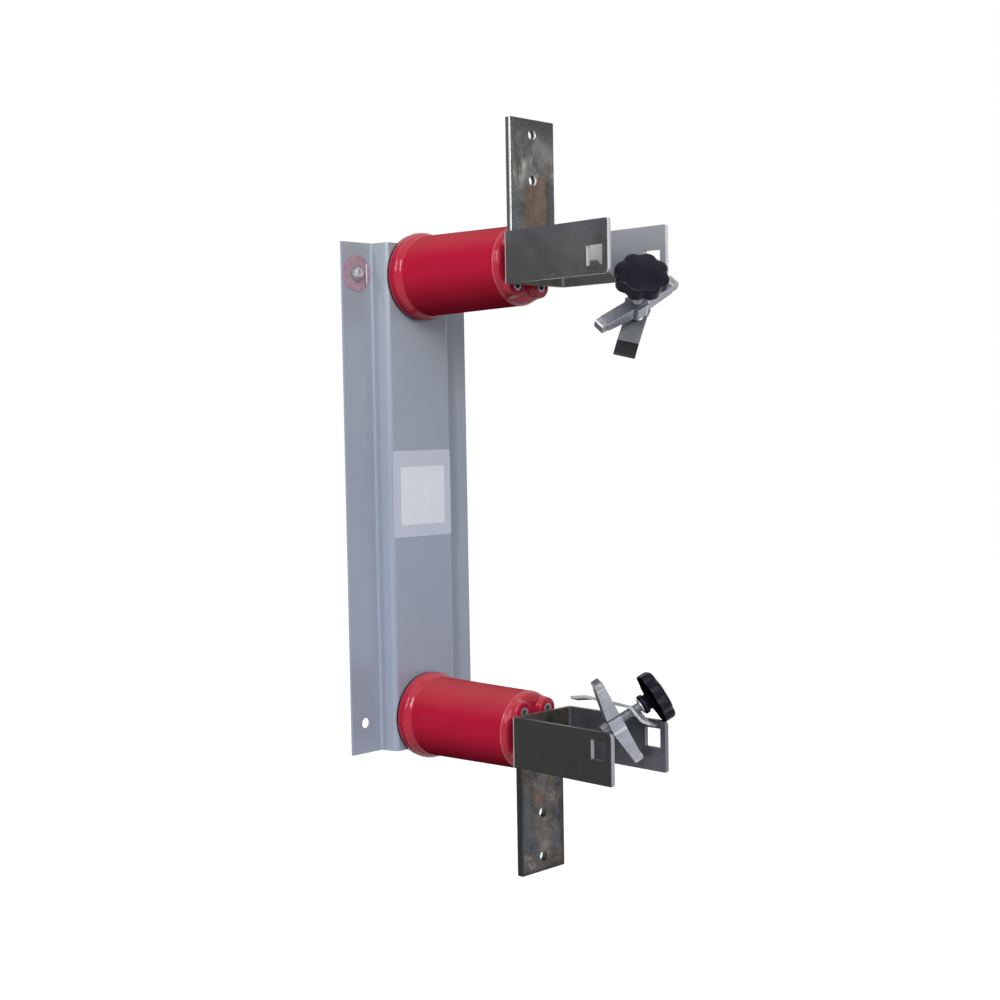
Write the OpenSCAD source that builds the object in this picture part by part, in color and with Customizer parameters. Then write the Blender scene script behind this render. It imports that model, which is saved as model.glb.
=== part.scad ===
// Wall-mounted fuse mount for medium voltage fuses.
// A folded steel base carries two moulded standoff insulators. Each insulator carries a
// terminal pad and a U-shaped contact bracket. A loose screw clamp hangs in each bracket.
// The wall is the plane y = 0, the part stands out of it along -y, and z points up.
// The origin is the centre of the base's back plane.

/* [Base] */
// Overall height of the folded base
base_h = 533.4; // [500:0.1:700]
// Width of the raised face between its two outer bend lines
face_w = 88.9; // [86:0.1:100]
// Depth from the wall to the raised face
face_depth = 22.2; // [18:0.1:40]
// Width of each flange from the foot of its side wall to its edge
flange_w = 41.6; // [36:0.1:60]
// How far each side wall leans out from the face down to the flange
side_lean = 2.85; // [0:0.05:8]
// Thickness of the base sheet
sheet_t = 2.66; // [1.5:0.01:4]
// Inside radius of the four bends
sheet_bend_r = 3.2; // [1:0.1:6]
// Distance from the mounting holes' centres to the edge of their flange
mount_edge = 19.05; // [14:0.05:20]
// Distance between the mounting holes along the base
mount_span_z = 469.9; // [400:0.1:490]
// Diameter of the mounting holes
mount_hole_d = 11.1; // [8:0.1:14]

/* [Label] */
// Width of the blank label
label_w = 84.6; // [40:0.1:86]
// Height of the blank label
label_h = 91.5; // [40:0.1:150]
// Thickness of the label
label_t = 0.3; // [0.2:0.05:1]
// Height of the label's centre above the middle of the base
label_z = 4.4; // [-60:0.1:60]
// Radius of the label's corners
label_corner_r = 2.5; // [1:0.1:10]

/* [Ground screw] */
// Clearance from the bare contact disc under the ground screw to the side wall's foot
ground_disc_gap = 3.8; // [3.2:0.1:8]
// Thickness of the contact disc
ground_disc_t = 0.8; // [0.4:0.05:2]
// Outer diameter of the split lock washer
ground_washer_d = 17.2; // [14:0.1:22]
// Thickness of the split lock washer
ground_washer_t = 2.4; // [1:0.1:4]
// Gap in the split lock washer
ground_washer_gap = 1.6; // [1:0.1:3]
// Size of the ground screw's hexagon head across its flats
ground_hex = 14.3; // [12:0.1:20]
// Height of the ground screw's head
ground_head_h = 5.6; // [4:0.1:9]
// Thread diameter of the ground screw
ground_screw_d = 9.5; // [6:0.1:10]

/* [Insulators] */
// Distance between the two insulators, centre to centre
insulator_span = 465; // [430:0.1:466]
// Length of an insulator from the base's face to its front bosses
insulator_len = 157.7; // [120:0.1:200]
// Diameter of the foot bead
foot_d = 91.8; // [84:0.1:92]
// Width of the foot bead along the insulator
foot_w = 19.2; // [12:0.1:24]
// Radius of the foot bead's rear edge
foot_rear_r = 8; // [3:0.1:9]
// Radius of the foot bead's front edge
foot_front_r = 3.5; // [1:0.1:4]
// Diameter of the body just in front of the foot bead
body_rear_d = 83.4; // [78:0.1:84]
// Diameter of the body at its front shoulder
body_front_d = 78.6; // [76:0.1:82]
// Radius of the front shoulder
shoulder_r = 4; // [1:0.1:8]
// Height of the four bosses that stand proud of the front
boss_h = 6.4; // [3:0.1:12]
// Diameter of each front boss
boss_d = 24; // [17:0.1:24.4]
// Distance between the threaded inserts across the insulator
insert_pitch_x = 35; // [32:0.1:37]
// Distance between the threaded inserts along the height
insert_pitch_z = 42; // [39:0.1:43]
// Outer diameter of an insert
insert_d = 10.4; // [9:0.1:14]
// Length of an insert
insert_len = 24; // [18:0.1:40]
// How far an insert's face stands proud of its boss
insert_proud = 0.4; // [0.2:0.05:1]

/* [Fasteners] */
// Thread diameter of the bolts in the inserts
bolt_d = 6.3; // [5:0.1:7.5]
// Radial clearance between a bolt and its thread or hole
thread_gap = 0.05; // [0.03:0.01:0.1]
// Radial clearance of the bolt holes in plates
bolt_hole_gap = 0.6; // [0.3:0.05:1.2]
// Size of a bolt's hexagon head across its flats
bolt_hex = 11.1; // [10:0.1:13]
// Height of a bolt's hexagon head
bolt_head_h = 4.3; // [3:0.1:6]
// Depth of the bolt's thread in an insert
bolt_grip = 16; // [8:0.1:17]
// Outer diameter of a bolt's lock washer
washer_d = 12.4; // [11:0.1:15]
// Thickness of a bolt's lock washer
washer_t = 1.6; // [1:0.1:3]

/* [Terminal pads] */
// Width of a terminal pad
pad_w = 63.5; // [58:0.1:76]
// Thickness of a terminal pad
pad_t = 6.35; // [4:0.05:10]
// Distance from the middle of the part to a pad's outer end
pad_end_z = 373; // [330:0.1:420]
// Distance from a pad's outer end to the first terminal hole
pad_hole_end = 14.9; // [11:0.1:18]
// Distance between the two terminal holes
pad_hole_pitch = 44.45; // [40:0.01:50]
// Diameter of the terminal holes
pad_hole_d = 10.3; // [8:0.1:14]
// Radius of a pad's corners
pad_corner_r = 0.8; // [0.3:0.1:5]

/* [Contact brackets] */
// Outer width across the two legs at the web
bracket_w = 85.7; // [82:0.1:90]
// Height of the bar that the bracket is bent from
bracket_h = 50; // [46:0.1:54]
// Thickness of the bar
bracket_t = 4.76; // [3:0.01:6]
// Inside radius of the bracket's bends
bracket_bend_r = 3; // [1:0.1:6]
// Length of a leg from the web's back
leg_len = 129; // [110:0.1:150]
// Radius of the corners at a leg's tip
leg_corner_r = 5; // [1:0.1:10]
// Side of the square hole in each leg
slot_side = 19.05; // [17:0.05:21]
// Distance from a leg's tip to its square hole
slot_tip = 6.3; // [4:0.1:8]
// Distance from the middle of the leg to the square hole's centre, towards the part's middle
slot_drop = 7.4; // [4:0.1:9]
// Radius of the square hole's corners
slot_corner_r = 0.8; // [0.3:0.1:3]
// Distance from the middle of the part to the middle of a bracket
bracket_z = 236.3; // [220:0.1:240]
// Outward lean of the upper bracket's left leg
lean_upper_left = 0.8; // [-3:0.05:3]
// Outward lean of the upper bracket's right leg
lean_upper_right = 1.6; // [-3:0.05:3]
// Outward lean of the lower bracket's left leg
lean_lower_left = 2.8; // [-3:0.05:3]
// Outward lean of the lower bracket's right leg
lean_lower_right = -2.4; // [-3:0.05:3]

/* [Clamp bar] */
// Overall length of a clamp bar
bar_len = 95.2; // [90:0.1:100]
// Width of a clamp bar's arms
bar_w = 12.7; // [11:0.1:15]
// Depth of a clamp bar at its ends
bar_end_depth = 9; // [7:0.1:10]
// Depth of a clamp bar at its middle
bar_mid_depth = 14.4; // [12:0.1:16]
// Length of the lug at each end that fits a square hole
lug_len = 8; // [5:0.1:12]
// How far a lug's lip stands above the bar's front face
lug_lip = 1.5; // [0.5:0.1:3]
// Chamfer at the corners of the bar's ends, seen from the side
lug_nip = 1; // [0.4:0.1:1.4]
// Length of the centre block along the bar
block_len = 14; // [12.5:0.1:18]
// Width of the centre block across the bar
block_w = 19.6; // [16:0.1:22]
// Size of the cast edges' chamfers
cast_chamfer = 1.2; // [0.5:0.1:2]

/* [Clamp strap] */
// Width of a strap
strap_w = 20.6; // [17:0.1:24]
// Thickness of a strap
strap_t = 3; // [2:0.1:3.5]
// Inside radius of a strap's bends
strap_bend_r = 4; // [2:0.1:6]
// Length of the straight shank between the two bends
strap_shank = 46; // [40:0.1:55]
// Length of the bent free end
strap_end = 16.4; // [10:0.1:24]
// Angle of the bent free end
strap_end_angle = 15; // [5:1:40]
// Length of the hook's slope
strap_hook = 18; // [14:0.1:26]
// Angle of the hook's slope
strap_hook_angle = 36; // [20:1:45]
// Length of the hook's lip
strap_lip = 9; // [7:0.1:14]
// Angle of the hook's lip
strap_lip_angle = 6; // [0:1:15]
// Width of the slot that the screw passes
strap_slot_w = 13; // [12.8:0.1:13.4]
// How far the slot runs from the hook's bend along the shank
strap_slot_back = 17; // [14:0.1:24]
// How far the slot runs from the hook's bend along the hook
strap_slot_front = 8; // [6:0.1:10]

/* [Clamp screw and knob] */
// Thread diameter of a clamp screw
screw_d = 9.5; // [7:0.1:10]
// Length of a clamp screw beyond the knob's hub
stud_len = 45.6; // [40:0.1:60]
// Chamfer at the screw's tip
stud_tip = 1.2; // [0.5:0.1:2]
// Depth of the screw's seat in the knob
stud_seat = 8; // [5:0.1:12]
// Diameter of a knob over its lobes
knob_d = 50.8; // [44:0.1:56]
// Number of lobes on a knob
knob_lobes = 8; // [5:1:10]
// Depth of the hollows between the lobes
knob_lobe_depth = 2.4; // [1:0.1:4]
// Thickness of a knob's rim
knob_t = 11.6; // [8:0.1:16]
// Height of the dome on a knob's front
knob_dome = 1.6; // [0.5:0.1:3]
// Room outside the knob's lobes that leaves their tops sharp
knob_rim_room = 0.5; // [0:0.1:1]
// Diameter of a knob's hub
hub_d = 15.6; // [13.5:0.1:20]
// Length of a knob's hub
hub_len = 12.7; // [8:0.1:18]
// Outer diameter of the thin washer on the screw at the hub's end
hub_washer_d = 15; // [13.5:0.1:20]
// Thickness of the thin washer
hub_washer_t = 1.2; // [0.8:0.1:2]

/* [Upper clamp place] */
// Place of the middle of the upper clamp bar across the part
upper_clamp_x = 14.1; // [13.7:0.1:14.5]
// Distance of the middle of the upper bar behind the tips of the legs
upper_clamp_back = 13.8; // [13.4:0.1:14.2]
// Drop of the middle of the upper bar below the bracket's middle
upper_clamp_drop = 52.3; // [51.9:0.1:52.7]
// Turn of the upper screw's axis about the vertical
upper_clamp_turn = -132.6; // [-133.1:0.1:-132.1]
// Tilt of the upper screw's axis from the vertical
upper_clamp_tilt = 52.3; // [51.8:0.1:52.8]
// Turn of the upper bar about the screw's axis
upper_clamp_spin = 125; // [124.5:0.1:125.5]
// Distance from the bar's front face to the knob's hub in the upper clamp
upper_hub_gap = 16.2; // [15.7:0.1:16.7]
// Turn of the upper knob on its screw
upper_knob_turn = 10; // [0:1:45]

/* [Lower clamp place] */
// Place of the middle of the lower clamp bar across the part
lower_clamp_x = -0.2; // [-0.6:0.1:0.2]
// Distance of the middle of the lower bar behind the tips of the legs
lower_clamp_back = 35.2; // [34.8:0.1:35.6]
// Rise of the middle of the lower bar above the bracket's middle
lower_clamp_rise = 24.9; // [24.5:0.1:25.3]
// Turn of the lower screw's axis about the vertical
lower_clamp_turn = -37.5; // [-38:0.1:-37]
// Tilt of the lower screw's axis from the vertical
lower_clamp_tilt = 60.4; // [59.9:0.1:60.9]
// Turn of the lower bar about the screw's axis
lower_clamp_spin = 14.4; // [13.9:0.1:14.9]
// Distance from the bar's front face to the knob's hub in the lower clamp
lower_hub_gap = 22.9; // [22.5:0.1:24.5]
// Turn of the lower knob on its screw
lower_knob_turn = 0; // [0:1:45]

/* [Upper strap place] */
// Place of the upper strap's hook bend across the part
upper_strap_x = 29.6; // [29.2:0.1:30]
// Distance of the upper strap's hook bend behind the tips of the legs
upper_strap_back = 24.9; // [24.5:0.1:25.3]
// Drop of the upper strap's hook bend below the bracket's middle
upper_strap_drop = 57.3; // [56.9:0.1:57.7]
// Turn of the upper strap's normal about the vertical
upper_strap_turn = -129.5; // [-130:0.1:-129]
// Tilt of the upper strap's normal from the vertical
upper_strap_tilt = 42.6; // [42.1:0.1:43.1]
// Turn of the upper strap about its normal
upper_strap_spin = 159.4; // [158.9:0.1:159.9]

/* [Lower strap place] */
// Place of the lower strap's hook bend across the part
lower_strap_x = 16.0; // [15.6:0.1:16.4]
// Distance of the lower strap's hook bend behind the tips of the legs
lower_strap_back = 24.9; // [24.5:0.1:25.3]
// Rise of the lower strap's hook bend above the bracket's middle
lower_strap_rise = 37.6; // [37.2:0.1:38]
// Turn of the lower strap's normal about the vertical
lower_strap_turn = -15.8; // [-16.3:0.1:-15.3]
// Tilt of the lower strap's normal from the vertical
lower_strap_tilt = 16.5; // [16:0.1:17]
// Turn of the lower strap about its normal
lower_strap_spin = -56.4; // [-56.9:0.1:-55.9]

/* [Hidden] */

$fn = 48;
arc_steps = 8;

base_w = face_w + 2 * (side_lean + flange_w);
mount_span_x = base_w - 2 * mount_edge;
ground_disc_d = 2 * (flange_w - mount_edge - ground_disc_gap);
face_y = -face_depth;
flange_y = -sheet_t;
insulator_front_y = face_y - insulator_len;
pad_back_y = insulator_front_y - insert_proud;
web_back_y = pad_back_y - pad_t;
web_front_y = web_back_y - bracket_t;
leg_tip_y = web_back_y - leg_len;
bolt_hole_d = bolt_d + 2 * bolt_hole_gap;
thread_hole_d = bolt_d + 2 * thread_gap;
insulator_z = insulator_span / 2;
insert_pts = [for (x = [-1, 1], z = [-1, 1]) [x * insert_pitch_x / 2, z * insert_pitch_z / 2]];
slot_y = leg_tip_y + slot_tip + slot_side / 2;

steel_blue = "#959ca9";
paint_grey = "#c7cad8";
insulator_red = "#b02238";
zinc = "#b9bcc2";
mill_steel = "#6e6e72";
cast_alloy = "#b4b8c2";
knob_black = "#1e1e24";
dusty_pink = "#c08a92";

// Geometry of sheet sections: a path with filleted corners, thickened to both sides.
function unit(v) = v / norm(v);
function left_of(v) = [-v[1], v[0]];
function turned(v, a) = [v[0] * cos(a) - v[1] * sin(a), v[0] * sin(a) + v[1] * cos(a)];
function turn_between(a, b) = atan2(a[0] * b[1] - a[1] * b[0], a[0] * b[0] + a[1] * b[1]);

// Points and left normals along the fillet of radius r at corner p between p0 and p1.
function fillet(p0, p, p1, r) =
    let (d0 = unit(p - p0), d1 = unit(p1 - p), a = turn_between(d0, d1), side = sign(a))
    let (start = p - d0 * r * tan(abs(a) / 2), n0 = left_of(d0), centre = start + n0 * r * side)
    [for (k = [0 : arc_steps])
        let (n = turned(n0, a * k / arc_steps)) [centre - n * r * side, n]];

// Path of [point, left normal] pairs through pts with mid-line bend radius r at each corner.
function bent_path(pts, r) =
    let (last = len(pts) - 1)
    concat(
        [[pts[0], left_of(unit(pts[1] - pts[0]))]],
        [for (i = [1 : last - 1]) each fillet(pts[i - 1], pts[i], pts[i + 1], r)],
        [[pts[last], left_of(unit(pts[last] - pts[last - 1]))]]);

module bent_section(pts, bend_r, t) {
    path = bent_path(pts, bend_r + t / 2);
    upper_side = [for (p = path) p[0] + p[1] * t / 2];
    lower_side = [for (i = [len(path) - 1 : -1 : 0]) path[i][0] - path[i][1] * t / 2];
    polygon(concat(upper_side, lower_side));
}

module rounded_rect(w, h, r) {
    union() {
        square([w - 2 * r, h], center = true);
        square([w, h - 2 * r], center = true);
        for (x = [-1, 1], y = [-1, 1])
            translate([x * (w / 2 - r), y * (h / 2 - r)])
                circle(r);
    }
}

// Puts a shape drawn in x and y into the plane x and z, thickened from y = 0 towards -y.
module facing_out(t) {
    rotate([90, 0, 0])
        linear_extrude(t)
            children();
}

// A cylinder that runs from y = 0 out to y = -h.
module rod_out(d, h) {
    rotate([90, 0, 0])
        cylinder(d = d, h = h);
}

module hexagon(flats) {
    circle(d = flats / cos(30), $fn = 6);
}

// Base: one folded sheet with a raised face between two flanges.
module base_section() {
    mid = sheet_t / 2;
    flange_x = face_w / 2 + side_lean;
    bent_section([
        [-base_w / 2, -mid], [-flange_x, -mid], [-face_w / 2 + mid, face_y + mid],
        [face_w / 2 - mid, face_y + mid], [flange_x, -mid], [base_w / 2, -mid]],
        sheet_bend_r, sheet_t);
}

module base_channel() {
    color(steel_blue)
    difference() {
        translate([0, 0, -base_h / 2])
            linear_extrude(base_h)
                base_section();
        for (x = [-1, 1], z = [-1, 1])
            translate([x * mount_span_x / 2, 1, z * mount_span_z / 2])
                rod_out(x < 0 && z > 0 ? ground_screw_d + 2 * thread_gap : mount_hole_d, sheet_t + 2);
        for (z = [-1, 1], p = insert_pts)
            translate([p[0], face_y + sheet_t + 1, z * insulator_z + p[1]])
                rod_out(bolt_hole_d, sheet_t + 2);
    }
}

module rating_label() {
    color(paint_grey)
    translate([0, face_y, label_z])
        facing_out(label_t)
            rounded_rect(label_w, label_h, label_corner_r);
}

// Ground screw in the base's upper left hole, with a bare contact disc and a split washer.
module at_ground() {
    translate([-mount_span_x / 2, flange_y, mount_span_z / 2])
        children();
}

module ground_disc() {
    color(dusty_pink)
    at_ground()
        facing_out(ground_disc_t)
            difference() {
                circle(d = ground_disc_d, $fn = 96);
                circle(d = ground_screw_d + 2 * thread_gap);
            }
}

module split_washer(outer_d, inner_d, t, gap) {
    facing_out(t)
        difference() {
            circle(d = outer_d);
            circle(d = inner_d);
            rotate(35)
                translate([0, -gap / 2])
                    square([outer_d, gap]);
        }
}

module ground_lock_washer() {
    color(zinc)
    at_ground()
        translate([0, -ground_disc_t, 0])
            split_washer(ground_washer_d, ground_screw_d + 4 * thread_gap, ground_washer_t, ground_washer_gap);
}

// Hexagon bolt with its seat at y = 0: the head stands out to -y and the shank runs to +y.
module hex_bolt(flats, head_h, shank_d, shank_len) {
    washer_face = 0.4;
    intersection() {
        rotate([90, 0, 0])
            rotate_extrude($fn = 64)
                polygon([[0, 0], [flats * 0.48, 0], [flats * 0.48, washer_face], [flats * 0.58, washer_face],
                    [flats * 0.58, head_h - flats * 0.075], [flats * 0.45, head_h], [0, head_h]]);
        facing_out(head_h)
            rotate(12)
                hexagon(flats);
    }
    translate([0, shank_len, 0])
        rod_out(shank_d, shank_len);
}

module ground_screw() {
    color(zinc)
    at_ground()
        translate([0, -ground_disc_t - ground_washer_t, 0])
            hex_bolt(ground_hex, ground_head_h, ground_screw_d,
                sheet_t + ground_disc_t + ground_washer_t);
}

// Insulator: a turned moulding with a foot bead, a tapered body and four front bosses.
// The profile is drawn with the radius along x and the distance from the base along y.
function arc(cx, cy, r, a0, a1, n = 8) =
    [for (k = [0 : n]) let (a = a0 + (a1 - a0) * k / n) [cx + r * cos(a), cy + r * sin(a)]];

module insulator_profile() {
    foot_r = foot_d / 2;
    neck_r = body_rear_d / 2;
    front_r = body_front_d / 2;
    shoulder_y = insulator_len - boss_h;
    step = foot_r - neck_r;
    polygon(concat(
        [[0, 0], [foot_r - foot_rear_r, 0]],
        arc(foot_r - foot_rear_r, foot_rear_r, foot_rear_r, -90, 0),
        arc(foot_r - foot_front_r, foot_w - foot_front_r, foot_front_r, 0, 90 - 12),
        [[neck_r + step * 0.12, foot_w + step * 0.25], [neck_r, foot_w + step]],
        arc(front_r - shoulder_r, shoulder_y - shoulder_r, shoulder_r, 0, 90),
        [[0, shoulder_y]]));
}

module insulator() {
    translate([0, face_y, 0])
    difference() {
        union() {
            rotate([90, 0, 0])
                rotate_extrude($fn = 120)
                    insulator_profile();
            for (p = insert_pts)
                translate([p[0], 0, p[1]])
                    rod_out(boss_d, insulator_len);
        }
        for (p = insert_pts) {
            translate([p[0], 0, p[1]])
                rod_out(insert_d, insert_len);
            translate([p[0], -insulator_len + insert_len - insert_proud, p[1]])
                rod_out(insert_d, insert_len);
        }
    }
}

module inserts() {
    for (p = insert_pts, end = [0, 1])
        translate([p[0], face_y - (end == 0 ? 0 : insulator_len + insert_proud - insert_len), p[1]])
            difference() {
                rod_out(insert_d, insert_len);
                translate([0, 1, 0])
                    rod_out(thread_hole_d, insert_len + 2);
            }
}

module upper_insulator() {
    color(insulator_red)
    translate([0, 0, insulator_z])
        insulator();
}

module lower_insulator() {
    color(insulator_red)
    mirror([0, 0, 1])
    translate([0, 0, insulator_z])
        insulator();
}

module upper_inserts() {
    color(zinc)
    translate([0, 0, insulator_z])
        inserts();
}

module lower_inserts() {
    color(zinc)
    translate([0, 0, -insulator_z])
        inserts();
}

// Bolts from the hollow behind the base's face into the insulator's rear inserts.
module insulator_bolts() {
    seat_y = face_y + sheet_t;
    for (p = insert_pts)
        translate([p[0], seat_y, p[1]])
            mirror([0, 1, 0]) {
                difference() {
                    rod_out(washer_d, washer_t);
                    translate([0, 1, 0])
                        rod_out(thread_hole_d, washer_t + 2);
                }
                translate([0, -washer_t, 0])
                    hex_bolt(bolt_hex, bolt_head_h, bolt_d, bolt_grip + sheet_t + washer_t);
            }
}

module upper_insulator_bolts() {
    color(zinc)
    translate([0, 0, insulator_z])
        insulator_bolts();
}

module lower_insulator_bolts() {
    color(zinc)
    translate([0, 0, -insulator_z])
        insulator_bolts();
}

// Terminal pad: a flat bar behind the bracket's web, with two terminal holes.
outer_insert_z = insulator_z + insert_pitch_z / 2;
pad_inner_z = bracket_z - bracket_h / 2 + 2;

module terminal_pad() {
    len_z = pad_end_z - pad_inner_z;
    difference() {
        translate([0, pad_back_y, (pad_end_z + pad_inner_z) / 2])
            facing_out(pad_t)
                rounded_rect(pad_w, len_z, pad_corner_r);
        for (k = [0, 1])
            translate([0, pad_back_y + 1, pad_end_z - pad_hole_end - k * pad_hole_pitch])
                rod_out(pad_hole_d, pad_t + 2);
        for (x = [-1, 1])
            translate([x * insert_pitch_x / 2, pad_back_y + 1, outer_insert_z])
                rod_out(bolt_hole_d, pad_t + 2);
    }
}

module upper_terminal_pad() {
    color(mill_steel)
    terminal_pad();
}

module lower_terminal_pad() {
    color(mill_steel)
    mirror([0, 0, 1])
        terminal_pad();
}

// Contact bracket: a flat bar bent into a U, with a square hole near each leg's tip.
module bracket_section(lean_left, lean_right) {
    mid = bracket_t / 2;
    x = bracket_w / 2 - mid;
    reach = leg_len - mid;
    bent_section([
        [-x - reach * tan(lean_left), web_back_y - leg_len], [-x, web_back_y - mid],
        [x, web_back_y - mid], [x + reach * tan(lean_right), web_back_y - leg_len]],
        bracket_bend_r, bracket_t);
}

module tip_corners() {
    r = leg_corner_r;
    for (z = [-1, 1])
        translate([0, leg_tip_y, z * bracket_h / 2])
            rotate([z > 0 ? 0 : -90, 0, 0])
                rotate([0, 90, 0])
                    rotate(180)
                    translate([0, 0, -bracket_w])
                        linear_extrude(2 * bracket_w)
                            difference() {
                                translate([-1, -1])
                                    square(r + 1);
                                translate([r, r])
                                    circle(r);
                            }
}

module bracket(lean_left, lean_right) {
    translate([0, 0, bracket_z])
    difference() {
        translate([0, 0, -bracket_h / 2])
            linear_extrude(bracket_h)
                bracket_section(lean_left, lean_right);
        tip_corners();
        translate([-bracket_w, slot_y, -slot_drop])
            rotate([0, 90, 0])
                linear_extrude(2 * bracket_w)
                    rounded_rect(slot_side, slot_side, slot_corner_r);
        for (x = [-1, 1])
            translate([x * insert_pitch_x / 2, web_back_y + 1, outer_insert_z - bracket_z])
                rod_out(bolt_hole_d, bracket_t + 2);
    }
}

module upper_bracket() {
    color(mill_steel)
    bracket(lean_upper_left, lean_upper_right);
}

module lower_bracket() {
    color(mill_steel)
    mirror([0, 0, 1])
        bracket(lean_lower_left, lean_lower_right);
}

// Two bolts hold a bracket and its pad on the outer pair of front inserts.
module bracket_washers() {
    for (x = [-1, 1])
        translate([x * insert_pitch_x / 2, web_front_y, outer_insert_z])
            split_washer(washer_d, thread_hole_d, washer_t, washer_t * 0.6);
}

module bracket_bolts() {
    for (x = [-1, 1])
        translate([x * insert_pitch_x / 2, web_front_y - washer_t, outer_insert_z])
            hex_bolt(bolt_hex, bolt_head_h, bolt_d, washer_t + bracket_t + pad_t + bolt_grip);
}

module upper_bracket_washers() {
    color(zinc)
    bracket_washers();
}

module lower_bracket_washers() {
    color(zinc)
    mirror([0, 0, 1])
        bracket_washers();
}

module upper_bracket_bolts() {
    color(zinc)
    bracket_bolts();
}

module lower_bracket_bolts() {
    color(zinc)
    mirror([0, 0, 1])
        bracket_bolts();
}

// Clamps. Each is drawn around the middle of its bar, with the screw's axis along z towards
// the knob and the bar along x, and is then turned into the pose in which it hangs.
bar_front = bar_mid_depth / 2;

module placed(pos, turn, tilt, spin) {
    translate(pos)
        rotate([0, tilt, turn])
            rotate([0, 0, spin])
                children();
}

module at_upper_clamp() {
    placed([upper_clamp_x, leg_tip_y + upper_clamp_back, bracket_z - upper_clamp_drop],
        upper_clamp_turn, upper_clamp_tilt, upper_clamp_spin)
        children();
}

module at_lower_clamp() {
    placed([lower_clamp_x, leg_tip_y + lower_clamp_back, lower_clamp_rise - bracket_z],
        lower_clamp_turn, lower_clamp_tilt, lower_clamp_spin)
        children();
}

// Side view of the bar: a straight front, a back that is deepest at the middle, and lips.
module bar_side_view() {
    half = bar_len / 2;
    block = block_len / 2;
    back = bar_front - bar_mid_depth;
    end_back = bar_front - bar_end_depth;
    lip_top = bar_front + lug_lip;
    polygon([
        [-half, end_back + lug_nip], [-half + lug_nip, end_back], [-block, back], [block, back],
        [half - lug_nip, end_back], [half, end_back + lug_nip],
        [half, lip_top - lug_nip], [half - lug_nip, lip_top], [half - lug_len + lug_lip, lip_top],
        [half - lug_len, bar_front], [-half + lug_len, bar_front],
        [-half + lug_len - lug_lip, lip_top], [-half + lug_nip, lip_top], [-half, lip_top - lug_nip]]);
}

module chamfered_bar(length, width, height, c) {
    rotate([90, 0, 90])
        translate([0, 0, -length / 2])
            linear_extrude(length)
                polygon([
                    [-width / 2, -height / 2 + c], [-width / 2 + c, -height / 2],
                    [width / 2 - c, -height / 2], [width / 2, -height / 2 + c],
                    [width / 2, height / 2 - c], [width / 2 - c, height / 2],
                    [-width / 2 + c, height / 2], [-width / 2, height / 2 - c]]);
}

module clamp_bar() {
    difference() {
        union() {
            intersection() {
                rotate([90, 0, 0])
                    translate([0, 0, -bar_w])
                        linear_extrude(2 * bar_w)
                            bar_side_view();
                translate([0, 0, lug_lip / 2])
                    chamfered_bar(bar_len + 2, bar_w, bar_mid_depth + lug_lip, cast_chamfer);
            }
            chamfered_block();
        }
        translate([0, 0, -bar_mid_depth])
            cylinder(d = screw_d + 2 * thread_gap, h = 2 * bar_mid_depth);
    }
}

module chamfered_block() {
    c = cast_chamfer;
    x = block_len / 2;
    y = block_w / 2;
    translate([0, 0, -bar_mid_depth / 2])
        linear_extrude(bar_mid_depth)
            polygon([[-x, -y + c], [-x + c, -y], [x - c, -y], [x, -y + c],
                [x, y - c], [x - c, y], [-x + c, y], [-x, y - c]]);
}

// Strap: drawn with the hook's bend at the origin, the shank towards -x and the knob towards z.
module strap_section() {
    shank_end = [-strap_shank, 0];
    free_end = shank_end - strap_end * [cos(strap_end_angle), sin(strap_end_angle)];
    lip_bend = strap_hook * [cos(strap_hook_angle), -sin(strap_hook_angle)];
    lip_end = lip_bend + strap_lip * [cos(strap_lip_angle), -sin(strap_lip_angle)];
    bent_section([free_end, shank_end, [0, 0], lip_bend, lip_end], strap_bend_r, strap_t);
}

module strap() {
    slot_r = strap_slot_w / 2;
    difference() {
        rotate([90, 0, 0])
            translate([0, 0, -strap_w / 2])
                linear_extrude(strap_w)
                    strap_section();
        for (x = [slot_r - strap_slot_back, strap_slot_front - slot_r])
            translate([x, 0, -strap_hook])
                cylinder(r = slot_r, h = 2 * strap_hook);
        translate([slot_r - strap_slot_back, -slot_r, -strap_hook])
            cube([strap_slot_back + strap_slot_front - strap_slot_w, strap_slot_w, 2 * strap_hook]);
    }
}

// Screw, washer and knob: drawn with the hub's end at z = 0 and the knob above it.

module clamp_screw() {
    translate([0, 0, -stud_len])
        cylinder(d1 = screw_d - 2 * stud_tip, d2 = screw_d, h = stud_tip);
    translate([0, 0, stud_tip - stud_len])
        cylinder(d = screw_d, h = stud_len + stud_seat - stud_tip);
}

module hub_washer() {
    translate([0, 0, -hub_washer_t])
        difference() {
            cylinder(d = hub_washer_d, h = hub_washer_t);
            translate([0, 0, -1])
                cylinder(d = screw_d + 2 * thread_gap, h = hub_washer_t + 2);
        }
}

module knob_outline() {
    r = knob_d / 2;
    n = 12 * knob_lobes;
    polygon([for (k = [0 : n - 1])
        let (a = 360 * k / n, dip = pow((1 - cos(knob_lobes * a)) / 2, 1.5))
        (r - knob_lobe_depth * dip) * [cos(a), sin(a)]]);
}

module clamp_knob() {
    edge_r = knob_t / 5;
    r = knob_d / 2 + knob_rim_room;
    top = hub_len + knob_t;
    difference() {
        union() {
            cylinder(d = hub_d, h = hub_len + 1);
            intersection() {
                translate([0, 0, hub_len])
                    linear_extrude(knob_t + knob_dome)
                        knob_outline();
                rotate_extrude($fn = 96)
                    polygon([[0, hub_len], [r - edge_r, hub_len], [r, hub_len + edge_r],
                        [r, top - edge_r], [r - edge_r, top - edge_r * 0.3], [r * 0.72, top],
                        [r * 0.64, top + knob_dome * 0.35], [r * 0.4, top + knob_dome * 0.85],
                        [0, top + knob_dome]]);
            }
        }
        translate([0, 0, -1])
            cylinder(d = screw_d, h = stud_seat + 1);
    }
}

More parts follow.
